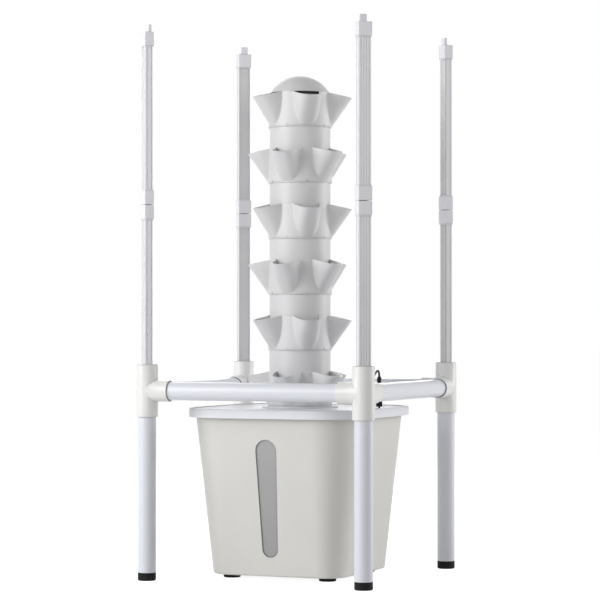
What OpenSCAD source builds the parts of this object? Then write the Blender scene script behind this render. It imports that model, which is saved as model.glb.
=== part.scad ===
// Hydroponic growing tower on a reservoir, inside a pipe frame with four light poles.
// Millimetres. Origin on the floor under the tower, +Z up, front of the reservoir toward -Y.

/* [Frame] */
// Distance between the centres of two neighbouring legs
leg_spacing = 410; // [380:1:520]
// Outside diameter of the frame pipe
pipe_od = 32; // [28:0.5:34]
// Wall of the frame pipe
pipe_wall = 2; // [1.6:0.1:3]
// Height of the rail centre lines over the floor
rail_z = 333; // [330:1:380]
// Height of the rubber foot under each leg
foot_h = 14; // [8:1:25]
// Wall of a corner fitting around its sockets
fitting_wall = 3.3; // [2.6:0.1:4.5]
// Length of a fitting arm, from the fitting's centre to its mouth
fitting_arm = 45.5; // [42:0.5:52]
// Depth of a fitting socket
socket_depth = 22; // [18:0.5:25]
// Clearance on the diameter between a pipe and its socket
socket_clear = 0.2; // [0.1:0.05:0.5]

/* [Light poles] */
// Width of a light bar
bar_w = 22.5; // [18:0.5:24.5]
// Depth of a light bar from its back to its diffuser
bar_d = 14; // [12:0.5:17]
// Length of a light bar with both end caps
bar_len = 304; // [240:1:360]
// Height over the floor where the two bars of a pole meet
bar_joint_z = 660; // [600:1:720]
// Thickness of the milky diffuser's front plate
diffuser_d = 2; // [1.6:0.1:3]
// Wall of the aluminium housing
housing_wall = 1.5; // [1.2:0.1:2]
// Thickness of the diffuser's clips inside the housing
diffuser_wall = 1.3; // [1:0.1:1.8]
// Length of an end cap along the bar
cap_len = 26.5; // [22:0.5:34]
// How far an end cap stands proud of the bar
cap_proud = 1.8; // [1.4:0.1:2.4]
// Clearance around a bar inside a cap or a pole socket
bar_clear = 0.1; // [0.05:0.05:0.3]
// Width of the connector between two bars
plug_w = 13; // [9:0.5:14]
// Depth of the connector between two bars
plug_d = 5.4; // [4:0.2:6]
// Height of the free connector on top of a pole
plug_h = 13.5; // [8:0.5:20]

/* [Reservoir] */
// Half the flat length of each side, where the rounded corners begin
side_half = 84; // [70:1:95]
// Corner radius at the bottom of the reservoir
corner_bottom = 43.6; // [36:0.2:50]
// Corner radius at the height of the lid's lower edge
corner_top = 74.5; // [66:0.5:80]
// Wall of the reservoir
tank_wall = 3; // [2.5:0.1:4]
// Height of the feet under the reservoir
tank_foot_h = 7; // [5:0.5:12]
// Diameter of the feet under the reservoir
tank_foot_d = 30.5; // [20:0.5:40]
// Distance of a reservoir foot from the middle, along each side
tank_foot_at = 92; // [70:1:95]
// Height over the floor of the lid's top face
lid_z = 301.5; // [299:0.5:301.5]
// Height of the lid's rim
lid_rim_h = 16; // [12:0.5:20]
// Thickness of the lid
lid_t = 3; // [2.5:0.1:4]
// How far the lid's rim stands out past the reservoir
lid_over = 12.9; // [11:0.1:16]
// Width of the level window at its top
window_top_w = 40; // [30:1:50]
// Width of the level window at its bottom
window_bottom_w = 30; // [20:1:40]
// Height over the floor of the window's lower end
window_z0 = 40; // [36:1:70]
// Height over the floor of the window's upper end
window_z1 = 249; // [200:1:255]
// How far the window is set back in the wall
window_set = 2; // [0.8:0.1:2.2]

/* [Tower] */
// Diameter of the column between two planters
column_od = 110; // [100:0.5:114]
// Wall of the column and the planter rings
column_wall = 2.2; // [1.8:0.1:2.6]
// Distance from one planter to the next
tier_pitch = 100; // [96:1:120]
// Height of a planter ring
ring_h = 64; // [60:0.5:68]
// How deep the column of one planter stands in the ring below
spigot_in = 20; // [14:0.5:24]
// Clearance on the radius between a column and a ring
tier_clear = 0.4; // [0.3:0.05:0.6]
// Radius to the outermost point of a pocket
pocket_reach = 94; // [86:0.5:100]
// Height of the pocket's outer lip over the ring's lower edge
pocket_tip_z = 53.5; // [48:0.5:54]
// Width of a pocket's mouth
pocket_w = 50; // [44:0.5:52]
// Wall of a pocket
pocket_wall = 2.2; // [1.8:0.1:2.6]
// Height of the dome over the top ring
dome_h = 30; // [20:1:40]

/* [Pump and water] */
// Outside diameter of the riser tube
riser_od = 24; // [22:0.5:25]
// Outside diameter of the pump's outlet
outlet_od = 18; // [16:0.5:19]
// Diameter of the pump's rotor magnet
magnet_d = 24; // [20:0.5:26]

/* [Leads] */
// Diameter of the low-voltage leads
lead_d = 3.5; // [3:0.1:4]

/* [Hidden] */
$fn = 64;
half = leg_spacing / 2;
pipe_id = pipe_od - 2 * pipe_wall;
socket_bore = pipe_od + socket_clear;
sleeve_od = socket_bore + 2 * fitting_wall;
arm_less = 0.8;
arm_od = sleeve_od - arm_less;
passage_d = pipe_id;
passage_less = 1;
arm_passage_d = passage_d - passage_less;
socket_stop = fitting_arm - socket_depth;
fitting_top = rail_z + fitting_arm;
edge_cut = 1;
leg_plug_up = 16;
leg_plug_fit = 0.1;
leg_foot_bevel = 1.5;

// Light poles: x across the bar, y toward the tower
bar_front = bar_d / 2;
bar_back = -bar_d / 2;
deck_in = 6.5;
deck_y = bar_front - deck_in;
lip_y = bar_front - diffuser_d;
groove = 0.8;
groove_w = 1.8;
grooves = 4;
groove_pitch = 5;
side_groove_in = 3.6;
seam_in = 0.7;
seam_w = 1;
diffuser_r = 1.5;
clip_run = 3;
clip_fit = 0.2;
board_w = 12;
board_t = 1.2;
board_short = 2;
cap_w = bar_w + 2 * cap_proud;
cap_d = bar_d + 2 * cap_proud;
cap_r = 1.2;
cap_end = 4;
cap_edge = 0.4;
cap_step = 0.8;
cap_collar = 2.5;
cap_gap = 0.9;
plug_room = 5.5;
plug_clear = 0.1;
plug_y = 3.2;
bar_top_z = bar_joint_z + bar_len;
bar_inset = cap_end + plug_room;
pole_socket_run = 0.3;
pole_socket_len = 15.5;
pole_socket_floor = 2;
pole_flange_t = 1.5;
pole_flange_in = 1;
pole_flange_d = sleeve_od - 2 * pole_flange_in;
pole_wire_d = 8;
pole_seat_z = fitting_top - pole_socket_len + pole_socket_floor;

// Reservoir: u is the distance outward from the line where the corners begin
tank_z0 = tank_foot_h;
lid_z0 = lid_z - lid_rim_h;
tank_top = lid_z - lid_t;
tank_slope = (corner_top - corner_bottom) / (lid_z0 - tank_z0);
tank_lean = atan(tank_slope);
tank_fillet = 4;
tank_foot_bevel = 1.2;
tank_floor_z = tank_z0 + tank_wall;
lid_u = corner_top + lid_over;
lid_skirt = 2.5;
lid_round = 3;
lid_fit = 0.6;
rim_t = 4;
rim_u = lid_u - lid_skirt - lid_fit;
lid_rib_t = 2.5;
lid_rib_h = 9;
lid_rib_u = corner_top - tank_wall - lid_fit;
lid_tray = 1.2;
lid_tray_in = 8;
seat_h = 1.5;
seat_ledge = 13;
seat_d = column_od + 2 * seat_ledge;
cord_slot_out = 68;
cord_slot_x = side_half + cord_slot_out;
cord_slot_y = 3;
cord_slot_l = 26;
cord_slot_w = 14;
cord_slot_r = 6.5;
window_seat = 5;
window_t = 1.6;
window_fit = 0.1;

// Tower
tier_z0 = lid_z + seat_h;
tiers = 6;
pockets = 5;
pocket_step = 360 / pockets;
front_turn = -90;
ring_ir = column_od / 2 + tier_clear;
ring_or = ring_ir + column_wall;
spigot_len = tier_pitch - ring_h + spigot_in;
floor_t = 2.4;
riser_gap = 1;
drain_d = 8;
drain_r = 40;
drains = 10;
lug_in = 3.4;
lug_w = 8;
lug_h = 7;
notch_w = 2;
notch_h = 4.5;
notch_in = 1.1;
band_z = 1.7;
band_h = 1;
band_in = 0.6;
pocket_root_r = 58;
pocket_root_z = 3;
pocket_back_r = 46;
pocket_slope = 0.22;
pocket_square = 0.77;
pocket_taper = 0.75;
pocket_lean = atan((pocket_reach - pocket_root_r) / (pocket_tip_z - pocket_root_z));
pocket_sides = 12;
outer_steps = [0, 0.12, 0.32, 0.62, 1];
inner_steps = [0.14, 0.32, 0.62, 0.92, 1.12];

// Water head under the dome
dish_below = 1;
dish_fit = 0.6;
dish_riser_fit = 0.4;
top_ring_z = tier_z0 + (tiers - 1) * tier_pitch + ring_h;
dish_z = top_ring_z - spigot_in;
dish_rim_z = top_ring_z - dish_below;
dish_or = ring_ir - dish_fit;
dish_t = 2.4;
dish_hole_d = riser_od + 2 * dish_riser_fit;
drip_d = 3;
drips = 20;
drip_r = 46;
dome_in = 0.8;
dome_r = dish_or - dome_in;
dome_rise = dome_h + dish_below;
dome_ball = (dome_r * dome_r + dome_rise * dome_rise) / (2 * dome_rise);
dome_t = 2.2;
dome_skirt_h = 7;
dome_skirt_lap = 2;
dome_skirt_fit = 0.5;

// Pump, with its rotor along Y and its outlet on the tower's axis
pump_w = 56;
pump_h = 42;
cup_h = 6;
pump_z0 = tank_floor_z + cup_h;
pump_z1 = pump_z0 + pump_h;
pump_corner = 5;
pump_y0 = -8;
pump_y1 = 40;
pump_axis_up = 19;
pump_axis_z = pump_z0 + pump_axis_up;
volute_d = 36;
volute_y1 = 6;
impeller_d = 31;
impeller_y0 = -5;
blade_t = 1.8;
rotor_run = 0.5;
magnet_y1 = 31;
shaft_d = 3;
shaft_y0 = -12;
shaft_y1 = 35;
bearing_d = 8;
cover_y0 = -16;
cover_wall = 2.5;
grille_slots = 5;
grille_w = 4;
grille_h = 26;
outlet_h = 24;
outlet_bore = 11;
cup_d = 18;
cup_neck_d = 8;
cup_x = 20;
cup_y = [-1, 32];
boss_d = 7;
boss_len = 6;
boss_y = 20;
boss_up = 14;
boss_z = pump_z0 + boss_up;
outlet_fit = 0.3;
riser_id = outlet_od + 2 * outlet_fit;
riser_up = 15;
riser_top = dish_z + riser_up;

// Leads
socket_up = 2;
socket_body_len = 26.5;
socket_body_d = 11;
plug_body_len = 27;
plug_body_d = 7.8;
plug_shoulder = 24.5;
plug_boot_d = 5.2;
plug_base_z = lid_z + socket_up;
plug_seam_z = plug_base_z + socket_body_len;
plug_top_z = plug_seam_z + plug_body_len;
gland_up = 24;
gland_z = rail_z + gland_up;
gland_hole_d = 6;
gland_d = 9;
gland_in = 4;
gland_out = 3;
gland_r = sleeve_od / 2;
gland_end = (half - (gland_r + gland_out) * cos(45));
lead_sides = 8;
lead_side_ref = [1, 0, 0.2];
lamp_lead_start = [cord_slot_x, cord_slot_y, plug_top_z];
lamp_lead_run = [[0, 0, 0], [0, 0, 2], [0, -1.1, 6.2], [0.2, -4.2, 9.4], [0.6, -8.8, 10.4], [1.4, -15, 9.6],
    [3, -25, 6.6], [6, -40, 2], [10, -58, -2], [14, -78, -5], [17.5, -98, -6.6], [20.5, -118, -7],
    [23, -138, -6.4], [25, -154, -4.8], [26.4, -167, -2.4], [27.8, -177, -0.6]];
lamp_lead_in = 7;
lamp_lead_path = concat([for (p = lamp_lead_run) lamp_lead_start + p],
    [[gland_end - lamp_lead_in, lamp_lead_in - gland_end, gland_z], [gland_end, -gland_end, gland_z]]);
pump_lead_path = [[pump_w / 2 + boss_len, boss_y, boss_z], [44, 20, boss_z], [56, 19, boss_z - 2],
    [70, 16, 24], [84, 12, 20], [96, 8, 20], [108, 5, 24], [116, 3, 34], [121, 3, 46], [124, 3, 60],
    [127, 3, 80], [130, 3, 105], [133, 3, 130], [136, 3, 155], [139, 3, 180], [142, 3, 205],
    [145, 3, 230], [148, 3, 255], [151, 3, 280],
    [cord_slot_x, cord_slot_y, 292], [cord_slot_x, cord_slot_y, plug_base_z]];

pipe_white = "#eceef2";
fitting_white = "#f1f1ee";
tank_cream = "#dedcd3";
tower_grey = "#e0e0e2";
metal_grey = "#d8d9de";
milky = "#e8e9ea";
black = "#1c1c1e";
board_yellow = "#d9d3b0";
window_grey = "#a9a9a8";

// Places a piece drawn at a leg's centre, with the rails toward +X and +Y, at corner i
module at_corner(i) {
    rotate([0, 0, 90 * i])
        translate([-half, -half, 0])
            children();
}

// Turns a pole piece so that its front looks at the tower
module at_pole(i) {
    at_corner(i)
        rotate([0, 0, -45])
            children();
}

module tube(length, outside, inside) {
    difference() {
        cylinder(h = length, d = outside);
        translate([0, 0, -edge_cut])
            cylinder(h = length + 2 * edge_cut, d = inside);
    }
}

module rounded_rect(w, d, r) {
    square([w - 2 * r, d], center = true);
    square([w, d - 2 * r], center = true);
    for (x = [-1, 1])
        for (y = [-1, 1])
            translate([x * (w / 2 - r), y * (d / 2 - r)])
                circle(r = r);
}

// Frame

module leg() {
    translate([0, 0, foot_h])
        tube(rail_z - socket_stop - foot_h, pipe_od, pipe_id);
}

module leg_foot() {
    plug_r = pipe_id / 2 - leg_plug_fit;
    rotate_extrude()
        polygon([[0, 0], [pipe_od / 2 - leg_foot_bevel, 0], [pipe_od / 2, leg_foot_bevel],
            [pipe_od / 2, foot_h], [plug_r, foot_h], [plug_r, foot_h + leg_plug_up],
            [0, foot_h + leg_plug_up]]);
}

// One socket along +Z from the fitting's centre, with a small lead-in at its mouth
module fitting_socket() {
    lead_in = 1.1;
    translate([0, 0, socket_stop])
        cylinder(h = socket_depth + edge_cut, d = socket_bore);
    translate([0, 0, fitting_arm - lead_in])
        cylinder(h = lead_in, d1 = socket_bore, d2 = socket_bore + 2 * lead_in);
}

module corner_fitting(gland_turn = -1) {
    translate([0, 0, rail_z])
        difference() {
            union() {
                translate([0, 0, -fitting_arm])
                    cylinder(h = 2 * fitting_arm, d = sleeve_od);
                rotate([0, 90, 0])
                    cylinder(h = fitting_arm, d = arm_od);
                rotate([-90, 0, 0])
                    cylinder(h = fitting_arm, d = arm_od);
            }
            fitting_socket();
            rotate([180, 0, 0])
                fitting_socket();
            rotate([0, 90, 0])
                fitting_socket();
            rotate([-90, 0, 0])
                fitting_socket();
            translate([0, 0, -fitting_arm])
                cylinder(h = 2 * fitting_arm, d = passage_d);
            rotate([0, 90, 0])
                cylinder(h = fitting_arm, d = arm_passage_d);
            rotate([-90, 0, 0])
                cylinder(h = fitting_arm, d = arm_passage_d);
            if (gland_turn > 0)
                translate([0, 0, gland_z - rail_z])
                    rotate([0, 90, 45])
                        cylinder(h = sleeve_od, d = gland_hole_d);
        }
}

module rail() {
    translate([socket_stop, 0, rail_z])
        rotate([0, 90, 0])
            tube(leg_spacing - 2 * socket_stop, pipe_od, pipe_id);
}

module leg_front_left() color(pipe_white) at_corner(0) leg();
module leg_front_right() color(pipe_white) at_corner(1) leg();
module leg_back_right() color(pipe_white) at_corner(2) leg();
module leg_back_left() color(pipe_white) at_corner(3) leg();
module leg_feet() color(black) for (i = [0 : 3]) at_corner(i) leg_foot();
module fitting_front_left() color(fitting_white) at_corner(0) corner_fitting();
module fitting_front_right() color(fitting_white) at_corner(1) corner_fitting(1);
module fitting_back_right() color(fitting_white) at_corner(2) corner_fitting();
module fitting_back_left() color(fitting_white) at_corner(3) corner_fitting();
module rail_front() color(pipe_white) at_corner(0) rail();
module rail_right() color(pipe_white) at_corner(1) rail();
module rail_back() color(pipe_white) at_corner(2) rail();
module rail_left() color(pipe_white) at_corner(3) rail();

// Light poles

// Round foot of a pole that turns in the fitting and holds the lower bar
module pole_socket() {
    difference() {
        union() {
            translate([0, 0, fitting_top - pole_socket_len])
                cylinder(h = pole_socket_len, d = socket_bore - 2 * pole_socket_run);
            translate([0, 0, fitting_top])
                cylinder(h = pole_flange_t, d = pole_flange_d);
        }
        translate([0, 0, pole_seat_z])
            linear_extrude(height = pole_socket_len + pole_flange_t)
                square([bar_w + 2 * bar_clear, bar_d + 2 * bar_clear], center = true);
        translate([0, 0, fitting_top - pole_socket_len - edge_cut])
            cylinder(h = pole_socket_len, d = pole_wire_d);
    }
}

module housing_profile() {
    wall = housing_wall + groove;
    difference() {
        translate([-bar_w / 2, bar_back])
            square([bar_w, lip_y - bar_back]);
        translate([-bar_w / 2 + wall, bar_back + wall])
            square([bar_w - 2 * wall, deck_y - bar_back - wall - housing_wall]);
        translate([-bar_w / 2 + housing_wall, deck_y])
            square([bar_w - 2 * housing_wall, lip_y - deck_y + edge_cut]);
        for (i = [0 : grooves - 1])
            translate([(i - (grooves - 1) / 2) * groove_pitch - groove_w / 2, bar_back - edge_cut])
                square([groove_w, edge_cut + groove]);
        for (x = [-bar_w / 2, bar_w / 2]) {
            translate([x - groove, bar_back + side_groove_in - groove_w / 2])
                square([2 * groove, groove_w]);
            translate([x - seam_in, lip_y - seam_w])
                square([2 * seam_in, seam_w + edge_cut]);
        }
    }
}

// Front plate with round edges, and two clips inside the housing's channel
module diffuser_profile() {
    clip_x = bar_w / 2 - housing_wall - clip_fit - diffuser_wall / 2;
    intersection() {
        translate([0, lip_y])
            rounded_rect(bar_w, 2 * diffuser_d, diffuser_r);
        translate([-bar_w / 2, lip_y])
            square([bar_w, diffuser_d]);
    }
    for (x = [-clip_x, clip_x])
        translate([x - diffuser_wall / 2, lip_y - clip_run])
            square([diffuser_wall, clip_run + diffuser_d / 2]);
}

// Draws a bar's cross-section along both bars of a pole, short of each end by the given length
module along_bars(short = 0) {
    translate([0, 0, pole_seat_z + short])
        linear_extrude(height = bar_joint_z - bar_inset - pole_seat_z - 2 * short)
            children();
    translate([0, 0, bar_joint_z + bar_inset + short])
        linear_extrude(height = bar_len - 2 * bar_inset - 2 * short)
            children();
}

module housings() {
    along_bars()
        housing_profile();
}

module diffusers() {
    along_bars()
        diffuser_profile();
}

module light_boards() {
    along_bars(board_short)
        translate([-board_w / 2, deck_y])
            square([board_w, board_t]);
}

// One cap with its closed end at z = 0
module end_cap() {
    difference() {
        union() {
            linear_extrude(height = cap_len)
                rounded_rect(cap_w - 2 * cap_step, cap_d - 2 * cap_step, cap_r);
            translate([0, 0, cap_edge])
                linear_extrude(height = cap_len - cap_collar - cap_edge)
                    rounded_rect(cap_w, cap_d, cap_r);
        }
        translate([0, 0, cap_end])
            linear_extrude(height = cap_len)
                square([bar_w + 2 * bar_clear, bar_d + 2 * bar_clear], center = true);
        translate([0, plug_y, -edge_cut])
            linear_extrude(height = cap_len)
                square([plug_w + 2 * plug_clear, plug_d + 2 * plug_clear], center = true);
    }
}

module end_caps() {
    translate([0, 0, bar_joint_z + cap_gap / 2])
        end_cap();
    translate([0, 0, bar_joint_z - cap_gap / 2])
        mirror([0, 0, 1])
            end_cap();
    translate([0, 0, bar_top_z])
        mirror([0, 0, 1])
            end_cap();
}

module connectors() {
    plug_back = cap_end + plug_room / 2;
    translate([-plug_w / 2, plug_y - plug_d / 2, bar_joint_z - plug_back])
        cube([plug_w, plug_d, 2 * plug_back]);
    translate([-plug_w / 2, plug_y - plug_d / 2, bar_top_z - plug_back])
        cube([plug_w, plug_d, plug_back + plug_h]);
}

module pole_socket_front_left() color(fitting_white) at_pole(0) pole_socket();
module pole_socket_front_right() color(fitting_white) at_pole(1) pole_socket();
module pole_socket_back_right() color(fitting_white) at_pole(2) pole_socket();
module pole_socket_back_left() color(fitting_white) at_pole(3) pole_socket();
module housings_front_left() color(metal_grey) at_pole(0) housings();
module housings_front_right() color(metal_grey) at_pole(1) housings();
module housings_back_right() color(metal_grey) at_pole(2) housings();
module housings_back_left() color(metal_grey) at_pole(3) housings();
module diffusers_front_left() color(milky) at_pole(0) diffusers();
module diffusers_front_right() color(milky) at_pole(1) diffusers();
module diffusers_back_right() color(milky) at_pole(2) diffusers();
module diffusers_back_left() color(milky) at_pole(3) diffusers();
module light_boards_front_left() color(board_yellow) at_pole(0) light_boards();
module light_boards_front_right() color(board_yellow) at_pole(1) light_boards();
module light_boards_back_right() color(board_yellow) at_pole(2) light_boards();
module light_boards_back_left() color(board_yellow) at_pole(3) light_boards();
module end_caps_front_left() color(pipe_white) at_pole(0) end_caps();
module end_caps_front_right() color(pipe_white) at_pole(1) end_caps();
module end_caps_back_right() color(pipe_white) at_pole(2) end_caps();
module end_caps_back_left() color(pipe_white) at_pole(3) end_caps();
module connectors_front_left() color(pipe_white) at_pole(0) connectors();
module connectors_front_right() color(pipe_white) at_pole(1) connectors();
module connectors_back_right() color(pipe_white) at_pole(2) connectors();
module connectors_back_left() color(pipe_white) at_pole(3) connectors();

// Reservoir

// Carries a section round a square with round corners; its x is the distance outward from the corner centres
module square_sweep() {
    for (i = [0 : 3])
        rotate([0, 0, 90 * i]) {
            translate([side_half, side_half, 0])
                rotate_extrude(angle = 90)
                    children();
            translate([side_half, side_half, 0])
                rotate([90, 0, 0])
                    linear_extrude(height = 2 * side_half)
                        children();
        }
}

function tank_u(z) = corner_bottom + tank_slope * (z - tank_z0);

module tank_profile() {
    steep = sqrt(1 + tank_slope * tank_slope);
    inner_fillet = tank_fillet - tank_wall;
    round_u = tank_u(tank_z0 + tank_fillet) - tank_fillet * steep;
    round_z = tank_z0 + tank_fillet;
    difference() {
        union() {
            polygon([[0, tank_z0], [round_u, tank_z0], [round_u, round_z],
                [round_u + tank_fillet / steep, round_z - tank_fillet * tank_slope / steep],
                [tank_u(tank_top), tank_top], [0, tank_top]]);
            translate([round_u, round_z])
                circle(r = tank_fillet);
            translate([0, tank_top - rim_t])
                square([rim_u, rim_t]);
        }
        polygon([[-edge_cut, tank_floor_z], [round_u, tank_floor_z], [round_u, round_z],
            [round_u + inner_fillet / steep, round_z - inner_fillet * tank_slope / steep],
            [tank_u(tank_top + edge_cut) - tank_wall * steep, tank_top + edge_cut],
            [-edge_cut, tank_top + edge_cut]]);
        translate([round_u, round_z])
            circle(r = inner_fillet);
    }
}

// Window outline in the plane of the wall, larger all round by grow
module window_outline(grow) {
    r1 = window_top_w / 2;
    r0 = window_bottom_w / 2;
    z1 = (window_z1 - window_z0) / 2 - r1;
    z0 = -(window_z1 - window_z0) / 2 + r0;
    side = asin((r1 - r0) / (z1 - z0));
    translate([0, z1])
        circle(r = r1 + grow);
    translate([0, z0])
        circle(r = r0 + grow);
    polygon([[(r1 + grow) * cos(side), z1 - (r1 + grow) * sin(side)],
        [-(r1 + grow) * cos(side), z1 - (r1 + grow) * sin(side)],
        [-(r0 + grow) * cos(side), z0 - (r0 + grow) * sin(side)],
        [(r0 + grow) * cos(side), z0 - (r0 + grow) * sin(side)]]);
}

// Slab of the window's outline, from one depth behind the wall's face to another
module window_slab(grow, from, to) {
    mid_z = (window_z0 + window_z1) / 2;
    translate([0, -side_half - tank_u(mid_z), mid_z])
        rotate([tank_lean, 0, 0])
            translate([0, to, 0])
                rotate([90, 0, 0])
                    linear_extrude(height = to - from)
                        window_outline(grow);
}

module tank() {
    color(tank_cream)
        difference() {
            union() {
                square_sweep()
                    tank_profile();
                translate([-side_half, -side_half, tank_z0])
                    cube([2 * side_half, 2 * side_half, tank_wall]);
            }
            window_slab(0, -edge_cut, tank_wall + edge_cut);
        }
}

module level_window() {
    color(window_grey)
        union() {
            window_slab(-window_fit, window_set, tank_wall + window_t / 2);
            window_slab(window_seat, tank_wall + window_fit, tank_wall + window_t);
        }
}

module tank_feet() {
    color(black)
        for (x = [-1, 1])
            for (y = [-1, 1])
                translate([x * tank_foot_at, y * tank_foot_at, 0])
                    rotate_extrude()
                        polygon([[0, 0], [tank_foot_d / 2 - tank_foot_bevel, 0],
                            [tank_foot_d / 2, tank_foot_bevel], [tank_foot_d / 2, tank_foot_h],
                            [0, tank_foot_h]]);
}

module lid_profile() {
    difference() {
        union() {
            translate([0, lid_z - lid_t])
                square([lid_u - lid_round, lid_t]);
            translate([lid_u - lid_skirt, lid_z0])
                square([lid_skirt, lid_rim_h - lid_round]);
            translate([lid_u - lid_round, lid_z - lid_round])
                intersection() {
                    circle(r = lid_round);
                    square(lid_round);
                }
            translate([lid_rib_u - lid_rib_t, lid_z - lid_t - lid_rib_h])
                square([lid_rib_t, lid_rib_h]);
        }
        translate([-edge_cut, lid_z - lid_tray])
            square([lid_u - lid_tray_in + edge_cut, lid_tray + edge_cut]);
    }
}

module lid() {
    color(pipe_white)
        difference() {
            union() {
                square_sweep()
                    lid_profile();
                translate([-side_half, -side_half, lid_z - lid_t])
                    cube([2 * side_half, 2 * side_half, lid_t - lid_tray]);
                translate([0, 0, lid_z - lid_t])
                    cylinder(h = lid_t + seat_h, d = seat_d);
            }
            translate([0, 0, lid_z - lid_t - edge_cut])
                cylinder(h = lid_t + seat_h + 2 * edge_cut, r = ring_ir);
            translate([cord_slot_x, cord_slot_y, lid_z - lid_t - lid_rib_h - edge_cut])
                linear_extrude(height = lid_t + lid_rib_h + 2 * edge_cut)
                    rotate([0, 0, 90])
                        rounded_rect(cord_slot_l, cord_slot_w, cord_slot_r);
        }
}

// Pump and riser

module pump_body() {
    color(black)
        difference() {
            union() {
                translate([0, (pump_y0 + pump_y1) / 2, pump_z0])
                    linear_extrude(height = pump_z1 - pump_z0)
                        rounded_rect(pump_w, pump_y1 - pump_y0, pump_corner);
                translate([0, 0, pump_z1])
                    cylinder(h = outlet_h, d = outlet_od);
                translate([pump_w / 2, boss_y, boss_z])
                    rotate([0, 90, 0])
                        cylinder(h = boss_len, d = boss_d);
            }
            translate([0, volute_y1, pump_axis_z])
                rotate([90, 0, 0])
                    cylinder(h = volute_y1 - pump_y0 + edge_cut, d = volute_d);
            translate([0, magnet_y1 + rotor_run, pump_axis_z])
                rotate([90, 0, 0])
                    cylinder(h = magnet_y1 - volute_y1 + rotor_run, d = magnet_d + 2 * rotor_run);
            translate([0, shaft_y1 + rotor_run, pump_axis_z])
                rotate([90, 0, 0])
                    cylinder(h = shaft_y1 - magnet_y1, d = shaft_d + 2 * rotor_run);
            translate([0, 0, pump_axis_z])
                cylinder(h = pump_z1 + outlet_h, d = outlet_bore);
        }
}

// Outline of the pump's front, smaller all round by inset, drawn from y to a given depth toward -Y
module pump_front(y, depth, inset) {
    translate([0, y, (pump_z0 + pump_z1) / 2])
        rotate([90, 0, 0])
            linear_extrude(height = depth)
                rounded_rect(pump_w - 2 * inset, pump_h - 2 * inset, pump_corner - inset);
}

module pump_cover() {
    cover_d = pump_y0 - cover_y0;
    middle = (grille_slots - 1) / 2;
    color(black)
        difference() {
            pump_front(pump_y0, cover_d, 0);
            difference() {
                pump_front(pump_y0 + edge_cut, cover_d - cover_wall + edge_cut, cover_wall);
                translate([0, pump_y0, pump_axis_z])
                    rotate([90, 0, 0])
                        cylinder(h = cover_d, d = bearing_d);
            }
            for (i = [0 : grille_slots - 1])
                if (i != middle)
                    translate([(i - middle) * 2 * grille_w, cover_y0 + cover_wall + edge_cut, pump_axis_z])
                        rotate([90, 0, 0])
                            linear_extrude(height = cover_wall + 2 * edge_cut)
                                square([grille_w, grille_h], center = true);
            translate([0, pump_y0 + edge_cut, pump_axis_z])
                rotate([90, 0, 0])
                    cylinder(h = pump_y0 - shaft_y0 + rotor_run + edge_cut, d = shaft_d + 2 * rotor_run);
        }
}

module pump_rotor() {
    hub_d = 12;
    blades = 6;
    plate_t = 2;
    blade_in = 0.5;
    blade_h = volute_y1 - impeller_y0 - 2 * rotor_run;
    color(metal_grey)
        translate([0, 0, pump_axis_z])
            rotate([-90, 0, 0])
                union() {
                    translate([0, 0, volute_y1 + rotor_run])
                        cylinder(h = magnet_y1 - volute_y1 - rotor_run, d = magnet_d);
                    translate([0, 0, impeller_y0])
                        cylinder(h = volute_y1 - impeller_y0 + 2 * rotor_run, d = hub_d);
                    translate([0, 0, volute_y1 - plate_t - rotor_run])
                        cylinder(h = plate_t, d = impeller_d);
                    for (i = [0 : blades - 1])
                        rotate([0, 0, i * 360 / blades])
                            translate([0, -blade_t / 2, impeller_y0])
                                cube([impeller_d / 2 - blade_in, blade_t, blade_h]);
                    translate([0, 0, shaft_y0])
                        cylinder(h = shaft_y1 - shaft_y0, d = shaft_d);
                }
}

module pump_cups() {
    lip_in = 1;
    lip_h = 2;
    shoulder_h = 3.5;
    color(black)
        for (x = [-cup_x, cup_x])
            for (y = cup_y)
                translate([x, y, tank_floor_z])
                    rotate_extrude()
                        polygon([[0, 0], [cup_d / 2, 0], [cup_d / 2 - lip_in, lip_h],
                            [cup_neck_d / 2, shoulder_h], [cup_neck_d / 2, cup_h], [0, cup_h]]);
}

module riser_tube() {
    color(milky)
        translate([0, 0, pump_z1])
            tube(riser_top - pump_z1, riser_od, riser_id);
}

// Tower

// Shape of one pocket: s runs from its root (0) to its mouth (1), inset is the wall taken off
function pocket_r(s, inset) = pocket_root_r + (pocket_reach - pocket_root_r) * s - inset / cos(pocket_lean);
function pocket_z(s) = pocket_root_z + (pocket_tip_z - pocket_root_z) * s;
function pocket_half(s, inset) = pocket_w / 2 * sqrt(1 - pocket_taper * (1 - s) * (1 - s)) - inset;
function power_cos(a) = sign(cos(a)) * pow(abs(cos(a)), pocket_square);
function power_sin(a) = pow(max(sin(a), 0), pocket_square);
function pocket_point(s, a, inset) =
    let (tip = pocket_r(s, inset), r = pocket_back_r + (tip - pocket_back_r) * power_sin(a))
    [r, pocket_half(s, inset) * power_cos(a), pocket_z(s) + (pocket_r(s, 0) - r) * pocket_slope * s];
function pocket_row(s, inset) =
    [for (k = [0 : pocket_sides]) pocket_point(s, 180 * k / pocket_sides, inset)];

// Closed skin through rows of points, all rows alike
module skin(rows) {
    n = len(rows[0]);
    m = len(rows);
    points = [for (row = rows) each row];
    bands = [for (j = [0 : m - 2]) for (k = [0 : n - 1])
        let (a = j * n + k, b = j * n + (k + 1) % n)
            each [[a, b + n, a + n], [a, b, b + n]]];
    ends = [[for (k = [n - 1 : -1 : 0]) k], [for (k = [0 : n - 1]) (m - 1) * n + k]];
    polyhedron(points = points, faces = concat(bands, ends));
}

module pocket_outside() {
    skin([for (s = outer_steps) pocket_row(s, 0)]);
}

module pocket_inside() {
    skin([for (s = inner_steps) pocket_row(s, pocket_wall)]);
}

module around_pockets(turn = 0) {
    for (i = [0 : pockets - 1])
        rotate([0, 0, turn + i * pocket_step])
            children();
}

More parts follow.
